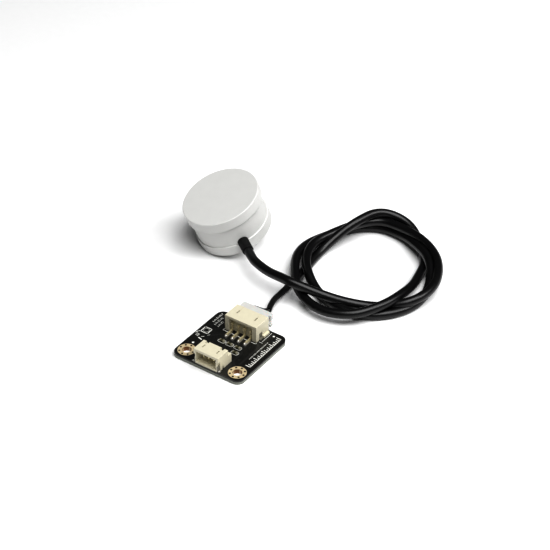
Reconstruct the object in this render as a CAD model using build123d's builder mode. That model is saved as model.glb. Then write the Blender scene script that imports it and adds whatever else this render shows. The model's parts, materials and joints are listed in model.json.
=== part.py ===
"""Non-contact liquid level sensor: a round puck on a coiled four-core cable, plugged into an adapter board.

Frame: the adapter board lies flat on z = 0, its two mounting holes are on the X axis either side of the
origin, +Y runs from the output header to the input header, +Z is up. Millimetres.
"""

import os
from math import cos, radians, sin, tan

from build123d import *

# --- Puck ---
PUCK_RADIUS = 14.0
WAIST_RADIUS = 13.2
PUCK_HEIGHT = 15.8
RIM_HEIGHT = 4.2
FLANGE_RADIUS = 13.65
FLANGE_HEIGHT = 3.9
FACE_THICKNESS = 1.6
HOUSING_BORE = 11.0  # radius inside the waist
SPIGOT_RADIUS = 11.95  # top of the waist, inside the front shell
SHELL_BORE = 12.0
EDGE_ROUND = 0.3
LEAN = 20.7  # the puck rests on the edge of its flange
LEAN_AZIMUTH = -119.4
PUCK_CENTRE = (-35.4, 61.1)
CABLE_TURN = -7.0  # of the cable exit, about the puck's axis from its level diameter
CABLE_HEIGHT = 3.9  # of the exit above the rear face

# --- Inside the puck, heights above the rear face ---
BOARD_HEIGHT = 7.2
BOARD_THICKNESS = 1.0
SENSOR_BOARD_RADIUS = 10.6
CHIP_HEIGHT = 1.0
ELECTRODE_RADIUS = 10.4
ELECTRODE_THICKNESS = 0.2
TRIMMER_OFFSET = 5.5
TRIMMER_SIDE = 5.0
TRIMMER_FOOT = 3.0
ROTOR_RADIUS = 1.5
ROTOR_FOOT = 2.4
ROTOR_TOP = 4.9
CAP_RADIUS = 3.4
CAP_STEM_RADIUS = 2.5
CAP_HEAD = 0.8
WINDOW_RADIUS = 1.4
FIT = 0.05  # radial clearance of the turning and pull-off pieces

# --- Cable ---
CORD_DIAMETER = 3.2
BOOT_DIAMETER = 3.9
BOOT_LENGTH = 5.6
SLEEVE_DIAMETER = 1.9
WIRE_DIAMETER = 0.75
COIL_CENTRE = (14.0, 69.75)
COIL_HEIGHT = 2 * CORD_DIAMETER
# Radii of the bundle's outer and inner edge, every 22.5 degrees from +X.
COIL_OUTER = (27.6, 27.3, 27.6, 28.6, 31.1, 33.3, 28.4, 27.0, 24.9, 25.2, 26.6, 29.6, 32.4, 30.6, 27.3, 27.2)
COIL_INNER = (16.0, 16.2, 18.8, 21.3, 22.1, 22.2, 19.4, 17.4, 17.2, 17.8, 18.8, 19.0, 19.2, 19.0, 18.6, 17.4)
LEAD_ROUTE = ((-15.21, 44.77, 7.36), (-8.5, 42.6, 6.8), (-1.5, 42.6, 5.6), (4.7, 44.4, 4.5))
SLEEVE_ROUTE = (
    (-2.6, 49.8, 1.7),
    (-2.9, 45.6, 1.25),
    (-2.6, 41.2, 1.5),
    (-1.6, 36.8, 2.7),
    (0.2, 32.0, 3.9),
    (1.9, 28.6, 4.6),
)

# --- Adapter board ---
BOARD_SIDE = 27.0
BOARD_CORNER = 2.6
BOARD_TOP = 1.6
HOLE_SPACING = 20.0
HOLE_INSET = 3.75
HOLE_RADIUS = 1.55
PLATING = 0.2
PLATED_RING_RADIUS = 3.0
RING_VIAS = 8
VIA_RADIUS = 0.22
VIA_CIRCLE_RADIUS = 2.4
COPPER = 0.06
BOARD_CENTRE_Y = BOARD_SIDE / 2 - HOLE_INSET

# --- Input header and its plug (2.5 mm pitch) ---
INPUT_PITCH = 2.5
INPUT_WIDTH = 12.4
INPUT_HEIGHT = 6.0
INPUT_FRONT = 15.5
INPUT_BACK = 22.45
INPUT_SOCKET_WIDTH = 10.4
INPUT_SOCKET_FLOOR = 17.6
INPUT_PIN = 0.64
INPUT_PIN_Z = BOARD_TOP + 3.0
INPUT_POST = 1.7  # solid corner each side of the open back
INPUT_SLIT_X = 3.5
PLUG_CLEARANCE = 0.25
PLUG_HEAD_LENGTH = 2.7
PLUG_HEAD_WIDTH = 10.7
PLUG_HEAD_LOW = 2.4
PLUG_HEAD_HIGH = 7.2
PLUG_RIB = 0.5  # finger ribs on each side of the head
PLUG_RIB_LENGTH = 1.4
PLUG_RIB_HEIGHTS = ((2.4, 3.2), (4.9, 6.8))
WIRE_REACH = (2.3, 1.0, 0.9, 0.9)  # of each wire's bend behind the plug
TUNNEL_SIDE = 1.7
CONTACT_SIDE = 1.5
CONTACT_BORE = 0.95

# --- Output header (2 mm pitch) ---
OUTPUT_PITCH = 2.0
OUTPUT_CENTRE_X = 0.45
OUTPUT_WIDTH = 9.5
OUTPUT_HEIGHT = 5.6
OUTPUT_FRONT = -3.65
OUTPUT_STEP = 1.8  # back of the tall part
OUTPUT_BACK = 3.5
OUTPUT_FOOT_HEIGHT = 3.2  # low part behind the step, each side of the pins
OUTPUT_FOOT_INSIDE = 2.7
OUTPUT_NOTCH = (2.4, 3.5)  # either side of the centre
OUTPUT_SOCKET_WIDTH = 7.7
OUTPUT_SOCKET_FLOOR = 0.3
OUTPUT_PIN = 0.5
OUTPUT_PIN_Z = BOARD_TOP + 2.8

SHELL_WALL = 0.9  # roof and floor of both headers
PIN_RECESS = 1.2  # depth of the input header's open back
MOULD_ROUND = 0.15
CHIP_SPOTS = ((-3.4, 9.95), (-0.3, 9.95), (2.9, 9.95))
SIDE_CHIP_SPOT = (3.6, 7.4)
CHIP_SIZE = (1.6, 0.85, 0.5)

LEAN_AXIS = Vector(
    sin(radians(LEAN)) * cos(radians(LEAN_AZIMUTH)),
    sin(radians(LEAN)) * sin(radians(LEAN_AZIMUTH)),
    cos(radians(LEAN)),
)
LEVEL_DIAMETER = Vector(-sin(radians(LEAN_AZIMUTH)), cos(radians(LEAN_AZIMUTH)), 0)
STEEP_DIAMETER = LEAN_AXIS.cross(LEVEL_DIAMETER)
PUCK = Plane(
    origin=(*PUCK_CENTRE, FLANGE_RADIUS * sin(radians(LEAN))),
    x_dir=LEVEL_DIAMETER * cos(radians(CABLE_TURN)) + STEEP_DIAMETER * sin(radians(CABLE_TURN)),
    z_dir=LEAN_AXIS,
)
PUCK_AXIS = Axis(PUCK.origin, PUCK.z_dir)
SECTION = Plane(PUCK.origin, x_dir=PUCK.x_dir, z_dir=-PUCK.y_dir)  # radius along x, height along y
CABLE_EXIT = Plane(
    PUCK.from_local_coords(Vector(HOUSING_BORE, 0, CABLE_HEIGHT)), x_dir=PUCK.y_dir, z_dir=PUCK.x_dir
)
TRIMMER_SPOT = (0, TRIMMER_OFFSET)
WINDOW_SPOT = (0, -TRIMMER_OFFSET)
INPUT_PINS_X = [(i - 1.5) * INPUT_PITCH for i in range(4)]
OUTPUT_PINS_X = [OUTPUT_CENTRE_X + (i - 1) * OUTPUT_PITCH for i in range(3)]


def write(piece, label):
    """Label one finished piece and write its STEP file."""
    piece.part.label = label
    export_step(piece.part, f"parts/{label}.step")


def half_section(*corners):
    """The face to turn about the puck's axis, from its (radius, height) corners."""
    with BuildSketch(SECTION) as face:
        with BuildLine():
            Polyline(*corners, close=True)
        make_face()
    return face.sketch


def box_between(low, high):
    """The plane and size of an axis-aligned box given by two corners."""
    centre = [(a + b) / 2 for a, b in zip(low, high)]
    return Location(centre), [b - a for a, b in zip(low, high)]


def add_box(low, high, mode=Mode.ADD):
    """Add or cut a box between two corners in the current part."""
    place, size = box_between(low, high)
    with Locations(place):
        Box(*size, mode=mode)


def arc_radii(points):
    """The largest soft bend at each inner point of a route: 0.45 of its shorter run."""
    radii = []
    for before, at, after in zip(points, points[1:], points[2:]):
        arriving, leaving = Vector(*at) - Vector(*before), Vector(*after) - Vector(*at)
        half_turn = radians(arriving.get_angle(leaving)) / 2
        radii.append(0.45 * min(arriving.length, leaving.length) / tan(half_turn))
    return radii


def tube(points, diameter):
    """A round tube along straight runs joined by tangent arcs."""
    with BuildPart() as piece:
        with BuildLine() as route:
            FilletPolyline(*points, radius=arc_radii(points))
        with BuildSketch(Plane(route.line @ 0, z_dir=route.line % 0)):
            Circle(diameter / 2)
        sweep(path=route.wires()[0])
    return piece


os.makedirs("parts", exist_ok=True)

# --- Puck shells ---
waist_top = PUCK_HEIGHT - RIM_HEIGHT
face_inside = PUCK_HEIGHT - FACE_THICKNESS

with BuildPart() as front_shell:
    face = half_section(
        (0, face_inside),
        (SHELL_BORE, face_inside),
        (SHELL_BORE, waist_top),
        (PUCK_RADIUS, waist_top),
        (PUCK_RADIUS, PUCK_HEIGHT),
        (0, PUCK_HEIGHT),
    )
    revolve(face, axis=PUCK_AXIS)
    fillet(front_shell.edges().filter_by(GeomType.CIRCLE).group_by(SortBy.RADIUS)[-1], EDGE_ROUND)
write(front_shell, "front_shell")

boot_hole = BOOT_DIAMETER / 2 + FIT
with BuildPart() as housing:
    face = half_section(
        (HOUSING_BORE, FLANGE_HEIGHT),
        (WAIST_RADIUS, FLANGE_HEIGHT),
        (WAIST_RADIUS, waist_top),
        (SPIGOT_RADIUS, waist_top),
        (SPIGOT_RADIUS, waist_top + 1.2),
        (HOUSING_BORE, waist_top + 1.2),
    )
    revolve(face, axis=PUCK_AXIS)
    with BuildSketch(CABLE_EXIT.offset(-2)):
        Circle(boot_hole)
    extrude(amount=6, mode=Mode.SUBTRACT)
write(housing, "housing")

with BuildPart() as rear_cover:
    face = half_section(
        (0, 0),
        (FLANGE_RADIUS, 0),
        (FLANGE_RADIUS, FLANGE_HEIGHT),
        (HOUSING_BORE - FIT, FLANGE_HEIGHT),
        (HOUSING_BORE - FIT, FLANGE_HEIGHT + 1.5),
        (HOUSING_BORE - 1.2, FLANGE_HEIGHT + 1.5),
        (HOUSING_BORE - 1.2, FACE_THICKNESS),
        (0, FACE_THICKNESS),
    )
    revolve(face, axis=PUCK_AXIS)
    fillet(rear_cover.edges().filter_by(GeomType.CIRCLE).group_by(SortBy.RADIUS)[-1], EDGE_ROUND)
    with BuildSketch(PUCK):
        with Locations(TRIMMER_SPOT):
            Circle(CAP_RADIUS + FIT)
    extrude(amount=CAP_HEAD, mode=Mode.SUBTRACT)
    with BuildSketch(PUCK):
        with Locations(TRIMMER_SPOT):
            Circle(CAP_STEM_RADIUS + FIT)
        with Locations(WINDOW_SPOT):
            Circle(WINDOW_RADIUS)
    extrude(amount=FACE_THICKNESS, mode=Mode.SUBTRACT)
    with BuildSketch(CABLE_EXIT.offset(-2)):
        Circle(boot_hole)
    extrude(amount=6, mode=Mode.SUBTRACT)
write(rear_cover, "rear_cover")

# --- Sensing electronics ---
with BuildPart() as electrode:
    with BuildSketch(PUCK.offset(face_inside - ELECTRODE_THICKNESS)):
        Circle(ELECTRODE_RADIUS)
    extrude(amount=ELECTRODE_THICKNESS)
write(electrode, "sensing_electrode")

board_top = BOARD_HEIGHT + BOARD_THICKNESS
with BuildPart() as potting:
    with BuildSketch(PUCK.offset(board_top + CHIP_HEIGHT)):
        Circle(SENSOR_BOARD_RADIUS)
    extrude(amount=face_inside - ELECTRODE_THICKNESS - board_top - CHIP_HEIGHT)
write(potting, "potting_block")

with BuildPart() as sensor_board:
    with BuildSketch(PUCK.offset(BOARD_HEIGHT)):
        Circle(SENSOR_BOARD_RADIUS)
    extrude(amount=BOARD_THICKNESS)
write(sensor_board, "sensor_board")

with BuildPart() as controller:
    with BuildSketch(PUCK.offset(board_top)):
        Rectangle(6.4, 4.4)
    extrude(amount=CHIP_HEIGHT)
    chamfer(controller.faces().sort_by(PUCK_AXIS)[-1].edges(), 0.2)
write(controller, "controller_chip")

with BuildPart() as sensor_parts:
    with BuildSketch(PUCK.offset(BOARD_HEIGHT)):
        with Locations((-6, 3), (-6, 0), (-6, -3), (5, 6), (5, -6)):
            Rectangle(1.6, 0.8)
    extrude(amount=-0.6)
write(sensor_parts, "sensor_chip_parts")

with BuildPart() as status_led:
    with BuildSketch(PUCK.offset(BOARD_HEIGHT)):
        with Locations(WINDOW_SPOT):
            Rectangle(2.0, 1.25)
    extrude(amount=-0.8)
write(status_led, "status_led")

with BuildPart() as led_window:
    with BuildSketch(PUCK):
        with Locations(WINDOW_SPOT):
            Circle(WINDOW_RADIUS)
    extrude(amount=5.5)
write(led_window, "led_window")

# --- Sensitivity trimmer ---
with BuildPart() as trimmer_body:
    with BuildSketch(PUCK.offset(TRIMMER_FOOT)):
        with Locations(TRIMMER_SPOT):
            Rectangle(TRIMMER_SIDE, TRIMMER_SIDE)
    extrude(amount=BOARD_HEIGHT - TRIMMER_FOOT)
    with BuildSketch(PUCK.offset(TRIMMER_FOOT)):
        with Locations(TRIMMER_SPOT):
            Circle(ROTOR_RADIUS + FIT)
    extrude(amount=ROTOR_TOP + FIT - TRIMMER_FOOT, mode=Mode.SUBTRACT)
write(trimmer_body, "trimmer_body")

with BuildPart() as trimmer_rotor:
    with BuildSketch(PUCK.offset(ROTOR_FOOT)):
        with Locations(TRIMMER_SPOT):
            Circle(ROTOR_RADIUS)
    extrude(amount=ROTOR_TOP - ROTOR_FOOT)
    with BuildSketch(PUCK.offset(ROTOR_FOOT)):
        with Locations(TRIMMER_SPOT):
            Rectangle(2 * ROTOR_RADIUS, 0.5)
            Rectangle(0.5, 1.6)
    extrude(amount=0.6, mode=Mode.SUBTRACT)
write(trimmer_rotor, "trimmer_rotor")

with BuildPart() as trimmer_cap:
    with BuildSketch(PUCK):
        with Locations(TRIMMER_SPOT):
            Circle(CAP_RADIUS)
    extrude(amount=CAP_HEAD - FIT)
    with BuildSketch(PUCK.offset(CAP_HEAD - FIT)):
        with Locations(TRIMMER_SPOT):
            Circle(CAP_STEM_RADIUS)
    extrude(amount=FACE_THICKNESS - CAP_HEAD)
    with BuildSketch(PUCK):
        with Locations(TRIMMER_SPOT):
            SlotOverall(4.0, 1.0)
    extrude(amount=0.4, mode=Mode.SUBTRACT)
write(trimmer_cap, "trimmer_cap")

# --- Cable ---
with BuildPart() as boot:
    with BuildSketch(CABLE_EXIT.offset(-1.2)):
        Circle(BOOT_DIAMETER / 2)
    extrude(amount=1.2 + WAIST_RADIUS - HOUSING_BORE + BOOT_LENGTH)
    fillet(boot.edges().sort_by(Axis(CABLE_EXIT.origin, CABLE_EXIT.z_dir))[-1], 0.25)
write(boot, "cable_boot")

boot_end = PUCK.from_local_coords(Vector(WAIST_RADIUS + BOOT_LENGTH, 0, CABLE_HEIGHT))
lead = tube([tuple(boot_end), *LEAD_ROUTE], CORD_DIAMETER)
write(lead, "cord_lead")


def loop_points(radii):
    """Points round the coil's centre, one for each of the radii."""
    step = 360 / len(radii)
    turns = [(radius, radians(i * step)) for i, radius in enumerate(radii)]
    return [(COIL_CENTRE[0] + r * cos(a), COIL_CENTRE[1] + r * sin(a)) for r, a in turns]


with BuildPart() as coil:
    with BuildSketch():
        with BuildLine():
            Spline(*loop_points(COIL_OUTER), periodic=True)
        make_face()
        with BuildLine():
            Spline(*loop_points(COIL_INNER), periodic=True)
        make_face(mode=Mode.SUBTRACT)
    extrude(amount=COIL_HEIGHT)
write(coil, "cord_coil")

sleeve = tube(SLEEVE_ROUTE, SLEEVE_DIAMETER)
write(sleeve, "plug_sleeve")

wire_nest = WIRE_DIAMETER / 2 + 0.03
plug_back = INPUT_BACK + 0.3 + PLUG_HEAD_LENGTH
crimp_end = plug_back - 1.6
with BuildPart() as core_wires:
    for i, pin_x in enumerate(INPUT_PINS_X):
        side, level = (-1 if i < 2 else 1), (-1 if i in (0, 3) else 1)
        start = Vector(*SLEEVE_ROUTE[-1]) + Vector(side * wire_nest, 0, level * wire_nest)
        bend = (pin_x, plug_back + WIRE_REACH[i], INPUT_PIN_Z)
        with BuildLine() as wire_path:
            FilletPolyline(tuple(start), bend, (pin_x, crimp_end, INPUT_PIN_Z), radius=1.0)
        with BuildSketch(Plane(wire_path.line @ 0, z_dir=wire_path.line % 0)):
            Circle(WIRE_DIAMETER / 2)
        sweep(path=wire_path.wires()[0])
write(core_wires, "core_wires")

with BuildPart() as puck_wires:
    for level in (-1.5, -0.5, 0.5, 1.5):
        inner = PUCK.from_local_coords(Vector(HOUSING_BORE - 1.2, level * 0.92, CABLE_HEIGHT))
        bend = PUCK.from_local_coords(Vector(8.0, level * 0.92, CABLE_HEIGHT))
        joint = PUCK.from_local_coords(Vector(8.0, level * 0.92, BOARD_HEIGHT))
        with BuildLine() as wire_path:
            FilletPolyline(tuple(inner), tuple(bend), tuple(joint), radius=1.0)
        with BuildSketch(Plane(wire_path.line @ 0, z_dir=wire_path.line % 0)):
            Circle(WIRE_DIAMETER / 2)
        sweep(path=wire_path.wires()[0])
write(puck_wires, "puck_wires")

# --- Plug ---
plug_nose = INPUT_SOCKET_FLOOR + 0.3
plug_shoulder = INPUT_BACK + 0.3
nose_half_width = INPUT_SOCKET_WIDTH / 2 - PLUG_CLEARANCE
nose_low = BOARD_TOP + SHELL_WALL + PLUG_CLEARANCE
nose_high = BOARD_TOP + INPUT_HEIGHT - SHELL_WALL - PLUG_CLEARANCE
with BuildPart() as plug:
    add_box((-nose_half_width, plug_nose, nose_low), (nose_half_width, plug_shoulder, nose_high))
    add_box(
        (-PLUG_HEAD_WIDTH / 2, plug_shoulder, PLUG_HEAD_LOW),
        (PLUG_HEAD_WIDTH / 2, plug_back, PLUG_HEAD_HIGH),
    )
    fillet(plug.faces().sort_by(Axis.Y)[-1].edges(), MOULD_ROUND)
    for side in (-1, 1):
        rib_x = sorted((side * PLUG_HEAD_WIDTH / 2, side * (PLUG_HEAD_WIDTH / 2 + PLUG_RIB)))
        for low, high in PLUG_RIB_HEIGHTS:
            add_box((rib_x[0], plug_back - PLUG_RIB_LENGTH, low), (rib_x[1], plug_back - MOULD_ROUND, high))
    for pin_x in INPUT_PINS_X:
        half = TUNNEL_SIDE / 2
        add_box(
            (pin_x - half, plug_nose, INPUT_PIN_Z - half),
            (pin_x + half, plug_back, INPUT_PIN_Z + half),
            Mode.SUBTRACT,
        )
        add_box(
            (pin_x - 0.45, plug_shoulder + 0.5, PLUG_HEAD_LOW),
            (pin_x + 0.45, plug_shoulder + 1.6, INPUT_PIN_Z),
            Mode.SUBTRACT,
        )
write(plug, "plug_housing")

with BuildPart() as contacts:
    for pin_x in INPUT_PINS_X:
        for half, mode in ((CONTACT_SIDE / 2, Mode.ADD), (CONTACT_BORE / 2, Mode.SUBTRACT)):
            add_box(
                (pin_x - half, plug_nose + 0.4, INPUT_PIN_Z - half),
                (pin_x + half, plug_shoulder + 0.4, INPUT_PIN_Z + half),
                mode,
            )
        half = CONTACT_SIDE / 2 - 0.1
        add_box(
            (pin_x - half, plug_shoulder + 0.4, INPUT_PIN_Z - half),
            (pin_x + half, crimp_end, INPUT_PIN_Z + half),
        )
write(contacts, "plug_contacts")

# --- Adapter board ---
with BuildPart() as adapter_board:
    with BuildSketch():
        with Locations((0, BOARD_CENTRE_Y)):
            RectangleRounded(BOARD_SIDE, BOARD_SIDE, BOARD_CORNER)
        with GridLocations(HOLE_SPACING, 1, 2, 1):
            Circle(HOLE_RADIUS + PLATING, mode=Mode.SUBTRACT)
    extrude(amount=BOARD_TOP)
    with BuildSketch():
        with GridLocations(HOLE_SPACING, 1, 2, 1):
            Circle(PLATED_RING_RADIUS)
    extrude(amount=COPPER, mode=Mode.SUBTRACT)
write(adapter_board, "adapter_board")

with BuildPart() as plated_holes:
    for ring_floor in (0, BOARD_TOP):
        with BuildSketch(Plane.XY.offset(ring_floor)):
            with GridLocations(HOLE_SPACING, 1, 2, 1):
                Circle(PLATED_RING_RADIUS)
                with PolarLocations(VIA_CIRCLE_RADIUS, RING_VIAS):
                    Circle(VIA_RADIUS, mode=Mode.SUBTRACT)
        extrude(amount=COPPER)
    with BuildSketch():
        with GridLocations(HOLE_SPACING, 1, 2, 1):
            Circle(HOLE_RADIUS + PLATING)
    extrude(amount=BOARD_TOP)
    with BuildSketch():
        with GridLocations(HOLE_SPACING, 1, 2, 1):
            Circle(HOLE_RADIUS)
    extrude(amount=BOARD_TOP + COPPER, mode=Mode.SUBTRACT)
write(plated_holes, "plated_holes")

# --- Input header ---
half_width = INPUT_WIDTH / 2
input_top = BOARD_TOP + INPUT_HEIGHT
tab_slot = (INPUT_FRONT + 1.7, INPUT_FRONT + 3.4)
with BuildPart() as input_header:
    add_box((-half_width, INPUT_FRONT, BOARD_TOP), (half_width, INPUT_BACK, input_top))
    fillet(input_header.edges().group_by(Axis.Z)[-1], MOULD_ROUND)
    socket = INPUT_SOCKET_WIDTH / 2
    add_box(
        (-socket, INPUT_SOCKET_FLOOR, BOARD_TOP + SHELL_WALL),
        (socket, INPUT_BACK, input_top - SHELL_WALL),
        Mode.SUBTRACT,
    )
    add_box(
        (INPUT_POST - half_width, INPUT_FRONT, BOARD_TOP),
        (half_width - INPUT_POST, INPUT_FRONT + PIN_RECESS, input_top - SHELL_WALL),
        Mode.SUBTRACT,
    )
    for side in (-1, 1):
        slot_x = sorted((side * (half_width - 0.55), side * half_width))
        add_box(
            (slot_x[0], tab_slot[0], BOARD_TOP), (slot_x[1], tab_slot[1], BOARD_TOP + 2.4), Mode.SUBTRACT
        )
        wing_x = sorted((side * half_width, side * (half_width + 0.8)))
        add_box((wing_x[0], tab_slot[1], BOARD_TOP), (wing_x[1], INPUT_BACK - 0.5, BOARD_TOP + 0.8))
        slit_x = side * INPUT_SLIT_X
        add_box(
            (slit_x - 0.25, INPUT_FRONT + 2.8, input_top - SHELL_WALL),
            (slit_x + 0.25, INPUT_FRONT + 4.6, input_top),
            Mode.SUBTRACT,
        )
        add_box(
            (slit_x - 0.1, INPUT_FRONT + 4.6, input_top - 0.15),
            (slit_x + 0.1, INPUT_BACK, input_top),
            Mode.SUBTRACT,
        )
    for pin_x in INPUT_PINS_X:
        half = INPUT_PIN / 2
        add_box(
            (pin_x - half, INPUT_FRONT, INPUT_PIN_Z - half),
            (pin_x + half, INPUT_SOCKET_FLOOR, INPUT_PIN_Z + half),
            Mode.SUBTRACT,
        )
write(input_header, "input_header")


def bent_pins(pins_x, side, tip_y, bend_y, foot_y, pin_z):
    """Square pins with a level tip, a leg down to the board and a foot along it."""
    outer, foot_top = (side / 2 if tip_y > bend_y else -side / 2), BOARD_TOP + COPPER + side
    with BuildPart() as piece:
        for pin_x in pins_x:
            with BuildSketch(Plane.YZ.offset(pin_x - side / 2)):
                with BuildLine():
                    Polyline(
                        (tip_y, pin_z + side / 2),
                        (bend_y - outer, pin_z + side / 2),
                        (bend_y - outer, foot_top),
                        (foot_y, foot_top),
                        (foot_y, foot_top - side),
                        (bend_y + outer, foot_top - side),
                        (bend_y + outer, pin_z - side / 2),
                        (tip_y, pin_z - side / 2),
                        close=True,
                    )
                make_face()
            extrude(amount=side)
    return piece


input_pins = bent_pins(
    INPUT_PINS_X, INPUT_PIN, INPUT_BACK - 0.8, INPUT_FRONT + 0.45, INPUT_FRONT - 3.1, INPUT_PIN_Z
)
write(input_pins, "input_header_pins")


def solder_tabs(centre_x, half, slot, height):
    """A pair of thin angle tabs, standing in the slots of a header's two side walls."""
    with BuildPart() as piece:
        for side in (-1, 1):
            upright = sorted((centre_x + side * (half - 0.45), centre_x + side * (half - 0.15)))
            foot = sorted((centre_x + side * (half - 0.45), centre_x + side * (half + 0.35)))
            floor = BOARD_TOP + COPPER
            add_box(
                (upright[0], slot[0] + 0.1, floor), (upright[1], slot[1] - 0.1, BOARD_TOP + height)
            )
            add_box((foot[0], slot[0] + 0.1, floor), (foot[1], slot[1] - 0.1, floor + 0.25))
    return piece


input_tabs = solder_tabs(0, half_width, tab_slot, 2.1)
write(input_tabs, "input_header_tabs")

# --- Output header ---
out_half = OUTPUT_WIDTH / 2
out_left, out_right = OUTPUT_CENTRE_X - out_half, OUTPUT_CENTRE_X + out_half
out_top = BOARD_TOP + OUTPUT_HEIGHT
out_slot = (OUTPUT_FRONT, OUTPUT_FRONT + 1.2)
with BuildPart() as output_header:
    add_box((out_left, OUTPUT_FRONT, BOARD_TOP), (out_right, OUTPUT_STEP, out_top))
    fillet(output_header.edges().group_by(Axis.Z)[-1], MOULD_ROUND)
    socket = OUTPUT_SOCKET_WIDTH / 2
    add_box(
        (OUTPUT_CENTRE_X - socket, OUTPUT_FRONT, BOARD_TOP + 0.7),
        (OUTPUT_CENTRE_X + socket, OUTPUT_SOCKET_FLOOR, out_top - SHELL_WALL),
        Mode.SUBTRACT,
    )
    for side in (-1, 1):
        foot_x = sorted((OUTPUT_CENTRE_X + side * OUTPUT_FOOT_INSIDE, OUTPUT_CENTRE_X + side * out_half))
        add_box(
            (foot_x[0], OUTPUT_STEP, BOARD_TOP), (foot_x[1], OUTPUT_BACK, BOARD_TOP + OUTPUT_FOOT_HEIGHT)
        )
        notch_x = sorted(OUTPUT_CENTRE_X + side * edge for edge in OUTPUT_NOTCH)
        add_box(
            (notch_x[0], OUTPUT_STEP - 1.1, BOARD_TOP + OUTPUT_FOOT_HEIGHT),
            (notch_x[1], OUTPUT_STEP, out_top),
            Mode.SUBTRACT,
        )
        slot_x = sorted((OUTPUT_CENTRE_X + side * (out_half - 0.55), OUTPUT_CENTRE_X + side * out_half))
        add_box(
            (slot_x[0], out_slot[0], BOARD_TOP), (slot_x[1], out_slot[1], BOARD_TOP + 3.6), Mode.SUBTRACT
        )
        nick_x = sorted((OUTPUT_CENTRE_X + side * (out_half - 0.35), OUTPUT_CENTRE_X + side * out_half))
        add_box(
            (nick_x[0], OUTPUT_FRONT + 2.3, BOARD_TOP),
            (nick_x[1], OUTPUT_FRONT + 3.0, BOARD_TOP + 1.15),
            Mode.SUBTRACT,
        )
        slit = OUTPUT_CENTRE_X + side * 2.78
        add_box(
            (slit - 0.2, OUTPUT_FRONT + 2.0, out_top - SHELL_WALL),
            (slit + 0.2, OUTPUT_FRONT + 3.5, out_top),
            Mode.SUBTRACT,
        )
    for pin_x in OUTPUT_PINS_X:
        half = OUTPUT_PIN / 2
        add_box(
            (pin_x - half, OUTPUT_SOCKET_FLOOR, OUTPUT_PIN_Z - half),
            (pin_x + half, OUTPUT_STEP, OUTPUT_PIN_Z + half),
            Mode.SUBTRACT,
        )
write(output_header, "output_header")

output_pins = bent_pins(
    OUTPUT_PINS_X, OUTPUT_PIN, OUTPUT_FRONT + 1.5, OUTPUT_BACK - 0.55, OUTPUT_BACK + 1.9, OUTPUT_PIN_Z
)
write(output_pins, "output_header_pins")

output_tabs = solder_tabs(OUTPUT_CENTRE_X, out_half, out_slot, 2.2)
write(output_tabs, "output_header_tabs")

# --- Copper lands and chip parts ---
with BuildPart() as solder_pads:
    with BuildSketch(Plane.XY.offset(BOARD_TOP)):
        with Locations(*[(x, INPUT_FRONT - 1.65) for x in INPUT_PINS_X]):
            Rectangle(1.2, 3.2)
        with Locations(*[(x, OUTPUT_BACK + 1.0) for x in OUTPUT_PINS_X]):
            Rectangle(0.9, 2.2)
        with Locations(*[(side * half_width, sum(tab_slot) / 2) for side in (-1, 1)]):
            Rectangle(0.9, 1.5)
        with Locations(*[(OUTPUT_CENTRE_X + side * out_half, sum(out_slot) / 2) for side in (-1, 1)]):
            Rectangle(0.9, 1.0)
        with Locations(*CHIP_SPOTS, SIDE_CHIP_SPOT):
            with GridLocations(CHIP_SIZE[0], 1, 2, 1):
                Rectangle(0.8, CHIP_SIZE[1] + 0.15)
    extrude(amount=COPPER)
write(solder_pads, "solder_pads")

for label, spots in (("chip_resistors", CHIP_SPOTS), ("chip_capacitor", (SIDE_CHIP_SPOT,))):
    with BuildPart() as chips:
        with BuildSketch(Plane.XY.offset(BOARD_TOP + COPPER)):
            with Locations(*spots):
                Rectangle(CHIP_SIZE[0], CHIP_SIZE[1])
        extrude(amount=CHIP_SIZE[2])
        fillet(chips.edges().filter_by(Axis.Z), 0.08)
    write(chips, label)
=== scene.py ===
"""Visual model of the non-contact liquid level sensor: its puck, coiled cable, plug and adapter board.

Places and sizes are in millimetres, and MM turns them into metres. The lights, the floor and the camera's
distance are in metres.
"""

import json
import math

import bmesh
import bpy
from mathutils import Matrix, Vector


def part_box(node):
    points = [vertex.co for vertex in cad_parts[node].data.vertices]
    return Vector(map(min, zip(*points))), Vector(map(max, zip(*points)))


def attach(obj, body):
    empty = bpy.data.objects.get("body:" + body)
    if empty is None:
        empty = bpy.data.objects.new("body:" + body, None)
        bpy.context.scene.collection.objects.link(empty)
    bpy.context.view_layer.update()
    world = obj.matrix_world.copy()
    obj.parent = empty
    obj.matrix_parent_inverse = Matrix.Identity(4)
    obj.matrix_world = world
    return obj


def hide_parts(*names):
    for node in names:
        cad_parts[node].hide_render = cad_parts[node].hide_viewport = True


MM = 0.001

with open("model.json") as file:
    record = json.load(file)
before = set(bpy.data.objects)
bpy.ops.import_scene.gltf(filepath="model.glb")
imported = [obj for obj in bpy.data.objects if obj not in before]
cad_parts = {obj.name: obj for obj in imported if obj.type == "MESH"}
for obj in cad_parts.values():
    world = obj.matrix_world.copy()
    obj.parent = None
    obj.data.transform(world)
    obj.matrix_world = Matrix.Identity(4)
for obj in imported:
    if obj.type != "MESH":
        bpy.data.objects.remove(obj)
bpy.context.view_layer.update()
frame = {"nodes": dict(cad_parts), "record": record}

# --- Cable: the lead and the sleeve follow the CAD model's route, and the turns lie round its ring ---
CORD_DIAMETER = 3.2
SLEEVE_DIAMETER = 1.9
BOOT_END = (-20.872, 48.872, 7.663)
LEAD_ROUTE = ((-17.2, 46.2, 7.47), (-14.4, 44.9, 7.4), (-8.5, 43.2, 7.2), (-1.9, 42.2, 8.0))
TAIL_ROUTE = ((-3.1, 55.6, 1.6),)
SLEEVE_ROUTE = (
    (-2.6, 49.8, 1.7),
    (-2.9, 45.6, 1.25),
    (-2.6, 41.2, 1.5),
    (-1.6, 36.8, 2.7),
    (0.2, 32.0, 3.9),
    (1.9, 28.6, 4.6),
)
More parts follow.
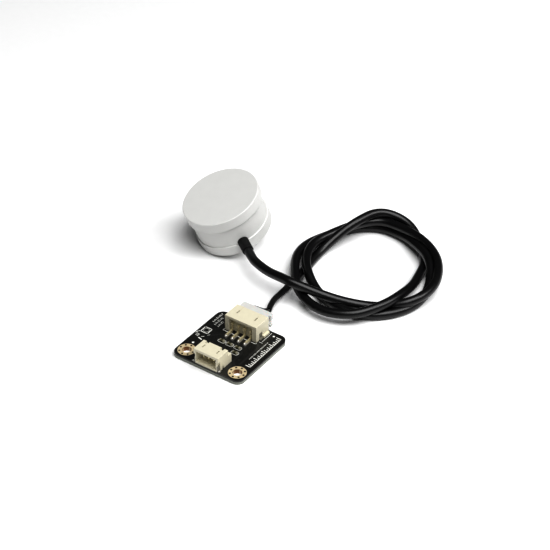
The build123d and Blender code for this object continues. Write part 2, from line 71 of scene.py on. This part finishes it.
# Shares of the sleeve's radius, one at each of its points.
SLEEVE_RADII = (1.25, 1.1, 1.0, 1.0, 1.0, 0.98)
HIDDEN_CORD_SHARE = 0.5  # inside the sleeve the cord thins to this share of its radius
COIL_CENTRE = (14.0, 69.75)
COIL_START = 247.5
SPOKES = 16
# Radius and height of the cable's middle at each spoke, one row of each for each turn.
TURN_RADII = (
    (30.0, 23.3, 20.1, 21.1, 25.9, 25.7, 24.5, 24.2, 23.8, 24.3, 26.5, 22.8, 20.6, 21.2, 20.9, 20.5),
    (20.6, 22.4, 25.2, 25.6, 25.2, 23.6, 22.0, 21.3, 21.3, 24.3, 26.8, 25.4, 24.3, 24.6, 24.2, 24.8),
    (27.9, 30.0, 29.4, 24.7, 20.5, 18.1, 17.7, 20.5, 23.5, 29.0, 27.8, 19.6, 18.3, 18.7, 19.4),
)
TURN_HEIGHTS = (
    (8.3, 4.4, 1.9, 1.6, 4.6, 4.8, 4.8, 4.8, 5.2, 5.2, 4.8, 4.7, 4.8, 4.9, 4.6, 4.2),
    (1.6, 1.6, 1.6, 1.6, 1.6, 1.6, 3.2, 4.6, 3.9, 2.2, 1.6, 1.6, 1.6, 2.5, 4.2, 4.8),
    (4.0, 3.2, 4.2, 5.2, 4.8, 2.9, 1.9, 1.6, 1.6, 4.9, 8.2, 8.0, 4.5, 1.8, 1.6),
)


def coil_points():
    """The turns' points, each pushed out so that the smooth line passes at its stated radius."""
    points = []
    for turn, (radii, heights) in enumerate(zip(TURN_RADII, TURN_HEIGHTS)):
        for spoke, (radius, height) in enumerate(zip(radii, heights)):
            angle = math.radians(COIL_START + 360 * (turn + spoke / SPOKES))
            out = radius / math.cos(math.pi / SPOKES)
            x, y = COIL_CENTRE[0] + out * math.cos(angle), COIL_CENTRE[1] + out * math.sin(angle)
            points.append((x, y, height))
    return points


def smooth_line(name, points, radii, depth):
    """A round curve on one smooth open spline with these control points, each with its share of the depth."""
    curve = bpy.data.curves.new(name, "CURVE")
    curve.dimensions = "3D"
    curve.bevel_depth = depth * MM
    curve.bevel_resolution = 8
    curve.resolution_u = 10
    curve.use_fill_caps = True
    spline = curve.splines.new("NURBS")
    spline.points.add(len(points) - 1)
    for place, (x, y, z), radius in zip(spline.points, points, radii):
        place.co = (x * MM, y * MM, z * MM, 1)
        place.radius = radius
    spline.order_u = 3
    spline.use_endpoint_u = True
    piece = bpy.data.objects.new(name, curve)
    bpy.context.scene.collection.objects.link(piece)
    return piece


cord_points = [BOOT_END, *LEAD_ROUTE, *coil_points(), *TAIL_ROUTE, *SLEEVE_ROUTE]
sleeved = len(SLEEVE_ROUTE) - 1
cord_radii = [1.0] * (len(cord_points) - sleeved) + [HIDDEN_CORD_SHARE] * sleeved
cord = smooth_line("cable", cord_points, cord_radii, CORD_DIAMETER / 2)
sleeve = smooth_line("core_sleeve", SLEEVE_ROUTE, SLEEVE_RADII, SLEEVE_DIAMETER / 2)

# --- Camera ---
CAMERA_AZIMUTH = math.radians(34.9)
CAMERA_ELEVATION = math.radians(35.95)
CAMERA_DISTANCE = 0.466
CAMERA_TARGET = Vector((3.83, 29.45, 19.25)) * MM
LENS = 94.9
SENSOR_WIDTH = 36
camera_data = bpy.data.cameras.new("camera")
camera_data.sensor_width = SENSOR_WIDTH
camera_data.lens = LENS
camera = bpy.data.objects.new("camera", camera_data)
bpy.context.scene.collection.objects.link(camera)
back = Vector(
    (
        math.sin(CAMERA_AZIMUTH) * math.cos(CAMERA_ELEVATION),
        -math.cos(CAMERA_AZIMUTH) * math.cos(CAMERA_ELEVATION),
        math.sin(CAMERA_ELEVATION),
    )
)
camera.location = CAMERA_TARGET + back * CAMERA_DISTANCE
camera.rotation_euler = (-back).to_track_quat("-Z", "Y").to_euler()
bpy.context.scene.camera = camera


# --- Materials ---
GLOSS_CHANGE = 0.15  # how far the roughness varies, as a share of itself
GRAIN_DEPTH = 0.1  # the depth of the grain, as a share of its size


def shader(name, colour, roughness, metallic=0.0, grain=0.0, grain_size=0.2, tint=0.03, mottle=3.0, **inputs):
    """A surface with fine grain, a little uneven colour and uneven gloss."""
    made = bpy.data.materials.new(name)
    made.use_nodes = True
    nodes, links = made.node_tree.nodes, made.node_tree.links
    surface = nodes["Principled BSDF"]
    surface.inputs["Metallic"].default_value = metallic
    for socket, value in inputs.items():
        surface.inputs[socket.replace("_", " ")].default_value = value
    place = nodes.new("ShaderNodeTexCoord")
    place.name = "place"
    patches = nodes.new("ShaderNodeTexNoise")
    patches.inputs["Scale"].default_value = 1 / (mottle * MM)
    patches.inputs["Detail"].default_value = 4
    links.new(place.outputs["Object"], patches.inputs["Vector"])
    ramp = nodes.new("ShaderNodeValToRGB")
    ramp.name = "colour"
    darker = [c * (1 - tint) for c in colour]
    lighter = [min(1, c * (1 + tint)) for c in colour]
    for stop, position, shade in zip(ramp.color_ramp.elements, (0.3, 0.7), (darker, lighter)):
        stop.position, stop.color = position, (*shade, 1)
    links.new(patches.outputs["Fac"], ramp.inputs["Fac"])
    links.new(ramp.outputs["Color"], surface.inputs["Base Color"])
    gloss = nodes.new("ShaderNodeMapRange")
    gloss.inputs["To Min"].default_value = roughness * (1 - GLOSS_CHANGE)
    gloss.inputs["To Max"].default_value = min(1, roughness * (1 + GLOSS_CHANGE))
    links.new(patches.outputs["Fac"], gloss.inputs["Value"])
    links.new(gloss.outputs["Result"], surface.inputs["Roughness"])
    if grain:
        fine = nodes.new("ShaderNodeTexNoise")
        fine.inputs["Scale"].default_value = 1 / (grain_size * MM)
        fine.inputs["Detail"].default_value = 3
        links.new(place.outputs["Object"], fine.inputs["Vector"])
        bump = nodes.new("ShaderNodeBump")
        bump.inputs["Strength"].default_value = grain
        bump.inputs["Distance"].default_value = GRAIN_DEPTH * grain_size * MM
        links.new(fine.outputs["Fac"], bump.inputs["Height"])
        links.new(bump.outputs["Normal"], surface.inputs["Normal"])
    return made


def recolour(made, mask, colour):
    """Give a shader a second colour where the mask, a value from 0 to 1, is high."""
    nodes, links = made.node_tree.nodes, made.node_tree.links
    mix = nodes.new("ShaderNodeMixRGB")
    links.new(mask, mix.inputs["Fac"])
    links.new(nodes["Principled BSDF"].inputs["Base Color"].links[0].from_socket, mix.inputs["Color1"])
    mix.inputs["Color2"].default_value = (*colour, 1)
    links.new(mix.outputs["Color"], nodes["Principled BSDF"].inputs["Base Color"])


def arithmetic(made, operation, first, second=0.0):
    """One Math node; each of its two inputs is a socket or a number."""
    node = made.node_tree.nodes.new("ShaderNodeMath")
    node.operation = operation
    for socket, value in zip(node.inputs, (first, second)):
        if isinstance(value, (int, float)):
            socket.default_value = value
        else:
            made.node_tree.links.new(value, socket)
    return node.outputs[0]


def inside_box(made, low, high, fade):
    """A mask that rises to 1 over `fade` inside a box."""
    nodes, links = made.node_tree.nodes, made.node_tree.links
    split = nodes.new("ShaderNodeSeparateXYZ")
    links.new(nodes["place"].outputs["Object"], split.inputs[0])
    depth = None
    for axis, (lo, hi) in enumerate(zip(low, high)):
        off = arithmetic(made, "SUBTRACT", split.outputs[axis], (lo + hi) / 2 * MM)
        inward = arithmetic(made, "SUBTRACT", (hi - lo) / 2 * MM, arithmetic(made, "ABSOLUTE", off))
        depth = inward if depth is None else arithmetic(made, "MINIMUM", depth, inward)
    rise = nodes.new("ShaderNodeMapRange")
    rise.inputs["From Max"].default_value = fade * MM
    links.new(depth, rise.inputs["Value"])
    return rise.outputs["Result"]


MATERIALS = {
    "puck_white": shader("puck_white", (0.63, 0.63, 0.615), 0.42, grain=0.35, grain_size=0.15, tint=0.012),
    "copper_foil": shader("copper_foil", (0.72, 0.36, 0.22), 0.3, metallic=1.0, grain=0.2),
    "potting": shader("potting", (0.02, 0.02, 0.022), 0.25, grain=0.2, grain_size=1.0),
    "board_green": shader("board_green", (0.02, 0.12, 0.05), 0.3, grain=0.2),
    "chip_black": shader("chip_black", (0.02, 0.02, 0.02), 0.55, grain=0.5, grain_size=0.08),
    "ceramic": shader("ceramic", (0.055, 0.052, 0.025), 0.35, grain=0.2, tint=0.2, mottle=0.4),
    "led_clear": shader("led_clear", (0.80, 0.84, 0.78), 0.12, grain=0.1, Transmission_Weight=0.6),
    "trimmer_blue": shader("trimmer_blue", (0.03, 0.09, 0.35), 0.35, grain=0.2),
    "brass_rotor": shader("brass_rotor", (0.75, 0.55, 0.22), 0.3, metallic=1.0, grain=0.2),
    "cap_rubber": shader("cap_rubber", (0.55, 0.55, 0.54), 0.7, grain=0.5),
    "boot_black": shader(
        "boot_black", (0.004, 0.004, 0.004), 0.6,
        grain=0.6, grain_size=0.45, tint=0.2, Specular_IOR_Level=0.3,
    ),
    "cord_black": shader(
        "cord_black", (0.003, 0.003, 0.0034), 0.33,
        grain=0.3, grain_size=0.5, tint=0.15, Specular_IOR_Level=0.5,
    ),
    "wire_dark": shader("wire_dark", (0.012, 0.012, 0.012), 0.4, grain=0.2),
    "plug_white": shader(
        "plug_white", (0.56, 0.565, 0.545), 0.38,
        grain=0.2, Subsurface_Weight=0.15, Subsurface_Scale=0.001,
    ),
    "contact_tin": shader("contact_tin", (0.70, 0.69, 0.66), 0.3, metallic=1.0, grain=0.2),
    "board_black": shader("board_black", (0.012, 0.012, 0.011), 0.32, grain=0.2, grain_size=0.6, tint=0.1),
    "plating_gold": shader(
        "plating_gold", (0.62, 0.52, 0.34), 0.45,
        metallic=0.3, grain=0.3, tint=0.06, mottle=0.9,
    ),
    "header_ivory": shader("header_ivory", (0.62, 0.585, 0.46), 0.42, grain=0.25, tint=0.025, mottle=1.5),
    "pin_gold": shader("pin_gold", (0.70, 0.63, 0.42), 0.28, metallic=0.5, grain=0.1),
    "tab_tin": shader("tab_tin", (0.26, 0.25, 0.21), 0.45, metallic=0.5, grain=0.3, tint=0.1, mottle=0.5),
}
silk_white = shader("silk_white", (0.72, 0.72, 0.68), 0.6, grain=0.4, grain_size=0.1, tint=0.08, mottle=0.5)
trace_black = shader("trace_black", (0.022, 0.022, 0.021), 0.3, grain=0.15, tint=0.1, mottle=0.8)
via_dark = shader("via_dark", (0.012, 0.008, 0.004), 0.5, grain=0.3, tint=0.2)
cap_tin = shader("cap_tin", (0.34, 0.32, 0.25), 0.4, metallic=0.4, grain=0.3, tint=0.12, mottle=0.3)
solder = shader("solder", (0.66, 0.64, 0.61), 0.3, metallic=0.7, grain=0.3, tint=0.12, mottle=0.3)

LAMINATE = (0.21, 0.22, 0.19)
LAMINATE_TOP = 1.0  # the board's edge is bare below this height
EDGE_RISE = 0.5  # a face whose normal rises by less than this is the board's edge
# Painted shade: an olive tint that stands in for the shaded, translucent insides of the headers' cavities.
CAVITY_SHADE_COLOUR = (0.70, 0.64, 0.44)
# Lowest corner, highest corner and fade of the two headers' cavities, whose insides are tinted olive as
# painted shade.
CAVITIES = (
    ((-4.52, 15.51, 1.5), (4.52, 16.75, 6.75), 0.35),
    ((-3.42, -3.75, 2.25), (4.32, 0.5, 6.33), 0.5),
)
HOLES_X = (-10, 10)
# Painted shade: dark brown inside the mounting holes, standing in for their plated walls in shadow.
HOLE_SHADE_COLOUR = (0.20, 0.09, 0.03)
HOLE_REACH = 1.58
HOLE_HEIGHTS = (-0.1, 1.6)
HOLE_FADE = 0.1

board = MATERIALS["board_black"]
board_nodes, board_links = board.node_tree.nodes, board.node_tree.links
facing = board_nodes.new("ShaderNodeSeparateXYZ")
board_links.new(board_nodes["place"].outputs["Normal"], facing.inputs[0])
upright = arithmetic(board, "ABSOLUTE", facing.outputs["Z"])
height = board_nodes.new("ShaderNodeSeparateXYZ")
board_links.new(board_nodes["place"].outputs["Object"], height.inputs[0])
low_edge = arithmetic(board, "LESS_THAN", height.outputs["Z"], LAMINATE_TOP * MM)
side_face = arithmetic(board, "LESS_THAN", upright, EDGE_RISE)
recolour(board, arithmetic(board, "MULTIPLY", side_face, low_edge), LAMINATE)
ivory = MATERIALS["header_ivory"]
# Paint the olive shade inside each header cavity.
for low, high, fade in CAVITIES:
    recolour(ivory, inside_box(ivory, low, high, fade), CAVITY_SHADE_COLOUR)
gold = MATERIALS["plating_gold"]
# Paint the shade inside each mounting hole onto the gold plating.
for hole_x in HOLES_X:
    low = (hole_x - HOLE_REACH, -HOLE_REACH, HOLE_HEIGHTS[0])
    high = (hole_x + HOLE_REACH, HOLE_REACH, HOLE_HEIGHTS[1])
    recolour(gold, inside_box(gold, low, high, HOLE_FADE), HOLE_SHADE_COLOUR)

for row in frame["record"]["subparts"]:
    node = frame["nodes"][row["node"]]
    node.data.materials.clear()
    node.data.materials.append(MATERIALS[row["material_slot"]])

for piece, slot in ((cord, "cord_black"), (sleeve, "boot_black")):
    piece.data.materials.append(MATERIALS[slot])
    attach(piece, "sensor")
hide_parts("cord_lead", "cord_coil")
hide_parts("plug_sleeve")

# --- Details on the adapter board ---
BOARD_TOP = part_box("adapter_board")[1][2] / MM
PINS_X = (-3.75, -1.25, 1.25, 3.75)
OUTPUT_PINS_X = (-1.55, 0.45, 2.45)
CHIPS = ((-3.4, 9.95), (-0.3, 9.95), (2.9, 9.95), (3.6, 7.4))
CHIP_LENGTH, CHIP_WIDTH, CHIP_TOP = 1.6, 0.85, 2.16


def bar(start, end, width):
    """The corners of a straight stroke."""
    along = Vector(end) - Vector(start)
    across = Vector((-along.y, along.x)).normalized() * width / 2
    return [tuple(Vector(p) + side * across) for p, side in ((start, 1), (end, 1), (end, -1), (start, -1))]


def loop(points, width, closed=True):
    """Strokes from point to point, each run on by half its width to close the corners."""
    strokes = []
    ends = points[1:] + points[:1] if closed else points[1:]
    for start, end in zip(points, ends):
        step = (Vector(end) - Vector(start)).normalized() * width / 2
        strokes.append(bar(Vector(start) - step, Vector(end) + step, width))
    return strokes


def rectangle(x, y, half_x, half_y, cut=0.0):
    """The corners of a rectangle with its corners cut off."""
    corners = []
    for sx, sy in ((-1, -1), (1, -1), (1, 1), (-1, 1)):
        pair = [(sx * half_x, sy * (half_y - cut)), (sx * (half_x - cut), sy * half_y)]
        corners += pair if sx * sy > 0 else pair[::-1]
    return [(x + dx, y + dy) for dx, dy in corners]


def disc(x, y, radius, sides=24):
    """The corners of a round dot."""
    turns = [2 * math.pi * i / sides for i in range(sides)]
    return [(x + radius * math.cos(a), y + radius * math.sin(a)) for a in turns]


def finish_piece(name, mesh, material):
    """Make one piece of a filled mesh on the adapter, with its material."""
    bmesh.ops.recalc_face_normals(mesh, faces=mesh.faces)
    data = bpy.data.meshes.new(name)
    mesh.to_mesh(data)
    mesh.free()
    made = bpy.data.objects.new(name, data)
    bpy.context.scene.collection.objects.link(made)
    data.materials.append(material)
    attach(made, "adapter")


def marks(name, outlines, low, high, material):
    """A layer of flat marks, each a closed outline standing between two heights."""
    mesh = bmesh.new()
    for outline in outlines:
        rings = [[mesh.verts.new((x * MM, y * MM, z * MM)) for x, y in outline] for z in (low, high)]
        mesh.faces.new(rings[0])
        mesh.faces.new(rings[1])
        for i in range(len(outline)):
            k = (i + 1) % len(outline)
            mesh.faces.new((rings[0][i], rings[0][k], rings[1][k], rings[1][i]))
    finish_piece(name, mesh, material)


def domes(name, places, material, rings=6, sides=20):
    """Rounded blobs of solder, each from its centre, half sizes and height."""
    mesh = bmesh.new()
    for x, y, z, half_x, half_y, height in places:
        rows = []
        for ring in range(rings):
            rise = math.pi / 2 * ring / rings
            spread, level = math.cos(rise), z + height * math.sin(rise)
            row = []
            for i in range(sides):
                turn = 2 * math.pi * i / sides
                side_x, side_y = x + half_x * spread * math.cos(turn), y + half_y * spread * math.sin(turn)
                row.append(mesh.verts.new((side_x * MM, side_y * MM, level * MM)))
            rows.append(row)
        tip = mesh.verts.new((x * MM, y * MM, (z + height) * MM))
        mesh.faces.new(rows[0])
        for lower, upper in zip(rows, rows[1:]):
            for i in range(sides):
                k = (i + 1) % sides
                mesh.faces.new((lower[i], lower[k], upper[k], upper[i]))
        for i in range(sides):
            mesh.faces.new((rows[-1][i], rows[-1][(i + 1) % sides], tip))
    for face in mesh.faces:
        face.smooth = len(face.verts) < 5
    finish_piece(name, mesh, material)


# White print on top: each loose stroke's start, end and width.
LOOSE_STROKES = (
    ((-10.8, 7.2), (-9.2, 6.8), 0.45),
    ((-10.3, 8.0), (-9.5, 8.6), 0.2),
    ((-9.0, 9.6), (-8.5, 10.4), 0.12),
)
MARK_PLACE, MARK_HALF, MARK_RING = (-10.9, 11.6), 1.35, 0.95
HOOK = [(-13.1, 8.9), (-12.9, 9.9), (-12.3, 10.3)]
# Rows of dashes that spell nothing: the row's x, its first y and its count.
DASH_ROWS = ((-11.7, 16.6, 8), (-10.4, 15.6, 7), (-9.0, 15.4, 5))
DASH_STEP = 0.68
DOTS = ((-10.6, 4.1, 0.42), (9.0, 21.4, 0.38))
TRIANGLE = [(-5.5, -3.3), (-4.7, -3.3), (-5.1, -2.5)]
HEADER_FRONT_Y = 14.85
HEADER_RIGHT_MARK = [(4.7, HEADER_FRONT_Y), (6.4, HEADER_FRONT_Y), (6.4, 15.2)]
HEADER_LEFT_MARK = [(-6.4, 16.6), (-6.7, HEADER_FRONT_Y), (-5.9, HEADER_FRONT_Y)]
HEADER_SIDE_STROKES = (((6.7, 16.4), (8.0, 16.4), 0.16), ((7.5, 16.9), (7.5, 22.4), 0.15))
SCALE_X, SCALE_START, SCALE_STEP, SCALE_STEPS = 11.75, 4.4, 0.85, 20
SCALE_LONG, SCALE_MIDDLE, SCALE_SHORT = 1.75, 1.3, 0.9
FINE_X, FINE_START, FINE_STEP, FINE_COUNT = 9.25, 7.4, 0.62, 17
TOP_PRINT_HEIGHT, UNDER_PRINT_HEIGHT = 0.02, 0.015

printed = loop(rectangle(*MARK_PLACE, MARK_HALF, MARK_HALF), 0.3)
printed += loop(disc(*MARK_PLACE, MARK_RING, 16), 0.14)
printed += loop(HOOK, 0.28, closed=False)
printed += [bar((-12.6, 8.9 - 0.5 * i), (-11.3, 8.6 - 0.5 * i), 0.16) for i in range(3)]
printed += [bar(*stroke) for stroke in LOOSE_STROKES]
for row_x, first, count in DASH_ROWS:
    for i in range(count):
        reach, level = 0.28 if i % 3 else 0.42, first + DASH_STEP * i
        printed.append(bar((row_x - reach, level), (row_x + reach, level), 0.2))
        if i % 2:
            printed.append(bar((row_x - reach, level), (row_x - reach, level + 0.5), 0.18))
printed += [disc(*dot) for dot in DOTS] + [TRIANGLE]
printed += [bar((x - 1.95, HEADER_FRONT_Y), (x - 0.55, HEADER_FRONT_Y), 0.28) for x in PINS_X]
printed += loop(HEADER_RIGHT_MARK, 0.2, closed=False)
printed += [bar(*stroke) for stroke in HEADER_SIDE_STROKES]
printed += loop(HEADER_LEFT_MARK, 0.16, closed=False)
for x, y in CHIPS:
    printed += loop(rectangle(x, y, 1.35, 0.78, 0.35), 0.14)
scale_end = SCALE_START + SCALE_STEPS * SCALE_STEP
printed.append(bar((SCALE_X, SCALE_START - 0.15), (SCALE_X, scale_end + 0.15), 0.3))
for i in range(SCALE_STEPS + 1):
    reach = SCALE_LONG if i % 5 == 0 else (SCALE_MIDDLE if i % 2 else SCALE_SHORT)
    tick_y = SCALE_START + i * SCALE_STEP
    printed.append(bar((SCALE_X, tick_y), (SCALE_X - reach, tick_y), 0.32))
for i in range(FINE_COUNT):
    dash_y, width = FINE_START + FINE_STEP * i, 0.34 if i % 3 else 0.2
    printed.append(bar((FINE_X, dash_y), (FINE_X, dash_y + 0.35), width))
marks("silkscreen_top", printed, BOARD_TOP, BOARD_TOP + TOP_PRINT_HEIGHT, silk_white)
under = loop(rectangle(0, 12, 7.5, 4.5, 0.6), 0.2)
under += [bar((-6 + 1.5 * i, 9.5), (-5.2 + 1.5 * i, 9.5), 0.4) for i in range(8)]
under += [disc(x, 19.5, 0.45) for x in (-9, 9)] + [bar((-5.5, 13.6), (5.5, 13.6), 0.3)]
marks("silkscreen_bottom", under, -UNDER_PRINT_HEIGHT, 0, silk_white)

# Copper under the mask: each track's start, end and width.
TRACK_HEIGHT = 0.012
TRACK_TOP_Y, TRACK_BEND_Y, TRACK_FOOT_Y, TRACK_LEAN = 12.3, 11.0, 6.2, 0.85
OTHER_TRACKS = (
    ((3.2, 11.0), (5.6, 8.6), 0.4),
    ((5.6, 8.6), (5.6, 3.8), 0.4),
    ((5.6, 3.8), (7.4, 2.2), 0.5),
    ((-8.8, 9.6), (-6.2, 12.2), 0.4),
    ((-6.2, 12.2), (-4.4, 12.6), 0.4),
    ((-8.9, 13.6), (-7.5, 15.0), 0.4),
    ((-9.6, 6.5), (-5.0, 6.5), 0.5),
    ((8.3, 3.2), (8.3, 14.0), 0.7),
    ((8.3, 14.0), (6.9, 15.4), 0.7),
)
tracks = [bar((x, TRACK_TOP_Y), (x * TRACK_LEAN, TRACK_BEND_Y), 0.4) for x in PINS_X]
tracks += [bar((x * TRACK_LEAN, TRACK_BEND_Y), (x * TRACK_LEAN, TRACK_FOOT_Y), 0.35) for x in PINS_X[:3]]
tracks += [bar(*track) for track in OTHER_TRACKS]
marks("copper_tracks", tracks, BOARD_TOP, BOARD_TOP + TRACK_HEIGHT, trace_black)

VIA_CIRCLE, VIA_RADIUS, VIA_RISE, VIAS_PER_RING = 2.4, 0.4, 0.012, 8
BOARD_VIA_RADIUS, BOARD_VIA_RISE = 0.28, 0.03
RING_TOP = BOARD_TOP + 0.055
BOARD_VIAS = ((-7.4, 3.4), (7.9, 9.6), (5.9, 12.4), (-7.9, 19.6), (-5.6, 7.9), (6.6, 5.2))
vias = []
for hole_x in HOLES_X:
    for i in range(VIAS_PER_RING):
        turn = 2 * math.pi * i / VIAS_PER_RING
        via_x, via_y = hole_x + VIA_CIRCLE * math.cos(turn), VIA_CIRCLE * math.sin(turn)
        vias.append((via_x, via_y, RING_TOP, VIA_RADIUS, VIA_RADIUS, VIA_RISE))
domes("ring_vias", vias, via_dark, rings=3, sides=14)
vias = [(x, y, BOARD_TOP, BOARD_VIA_RADIUS, BOARD_VIA_RADIUS, BOARD_VIA_RISE) for x, y in BOARD_VIAS]
domes("board_vias", vias, trace_black, rings=3)

# Solder: each row's x places, y, half sizes and height.
SOLDER_ROWS = (
    (PINS_X, 12.75, 0.55, 0.8, 0.72),
    (PINS_X, 14.1, 0.42, 0.9, 0.5),
    (OUTPUT_PINS_X, 5.1, 0.42, 0.65, 0.6),
    ((-4.4, 5.3), -3.1, 0.28, 0.5, 0.55),
)
PAD_TOP = BOARD_TOP + 0.05
joints = [(x, y, PAD_TOP, half_x, half_y, rise) for xs, y, half_x, half_y, rise in SOLDER_ROWS for x in xs]
domes("solder_joints", joints, solder)
CAP_INSET, CAP_HALF, CAP_PROUD = 0.14, 0.2, 0.03
caps = []
for x, y in CHIPS:
    for side in (-1, 1):
        cap_x = x + side * (CHIP_LENGTH / 2 - CAP_INSET)
        caps.append(rectangle(cap_x, y, CAP_HALF, CHIP_WIDTH / 2 + CAP_PROUD, 0.05))
marks("chip_end_caps", caps, BOARD_TOP + 0.06, CHIP_TOP + CAP_PROUD, cap_tin)

# --- Floor and light ---
FLOOR_SIZE = 4.0
FLOOR_DROP = 0.00002
MIDDLE = (0.0, 0.05, 0.01)
WORLD_STRENGTH = 0.08
VIEW_GAMMA = 0.72
bpy.ops.mesh.primitive_plane_add(size=FLOOR_SIZE, location=(0, 0, -FLOOR_DROP))
floor = bpy.context.object
floor.name = "floor"
floor.data.materials.append(shader("floor_white", (0.90, 0.90, 0.90), 0.6, tint=0.005))


def area_light(name, place, aim, size, power):
    """A square soft light at a place, turned towards a point."""
    data = bpy.data.lights.new(name, "AREA")
    data.size, data.energy = size, power
    lamp = bpy.data.objects.new(name, data)
    lamp.location = place
    lamp.rotation_euler = (Vector(aim) - Vector(place)).to_track_quat("-Z", "Y").to_euler()
    bpy.context.scene.collection.objects.link(lamp)


area_light("key", (0.33, -0.09, 0.89), MIDDLE, 0.8, 13.5)
area_light("rim", (0.60, 0.36, 0.62), MIDDLE, 0.4, 4)
world = bpy.data.worlds.new("world")
world.use_nodes = True
background = world.node_tree.nodes["Background"]
background.inputs["Color"].default_value = (1, 1, 1, 1)
background.inputs["Strength"].default_value = WORLD_STRENGTH
bpy.context.scene.world = world
bpy.context.scene.view_settings.view_transform = "Standard"
bpy.context.scene.view_settings.gamma = VIEW_GAMMA
